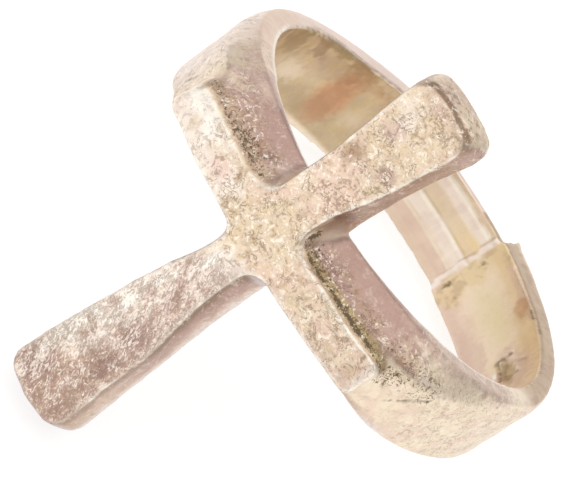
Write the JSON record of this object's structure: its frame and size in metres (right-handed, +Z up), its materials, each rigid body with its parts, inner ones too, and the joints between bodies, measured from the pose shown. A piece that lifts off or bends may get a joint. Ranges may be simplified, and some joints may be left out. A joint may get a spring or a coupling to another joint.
{
  "type": "cross ring",
  "caption": "Cast silver finger ring whose band carries a long, slightly bent cross with flared arms, worn and stained with age.",
  "frame": {"origin": "on the table under the middle of the ring as it lies at rest", "axes": "+Z up from the table, -Y towards the cross's face and the long arm's tip, +X along the cross's bar to the end that is nearer the thick stepped end of the band"},
  "size_m": [0.0214, 0.028, 0.0211],
  "materials": {
    "cast_silver": "satin, as cast, with worn edges and brown stains in the hollows"
  },
  "bodies": {
    "root": {"cast_ring": "cast_silver"}
  },
  "joints": []
}
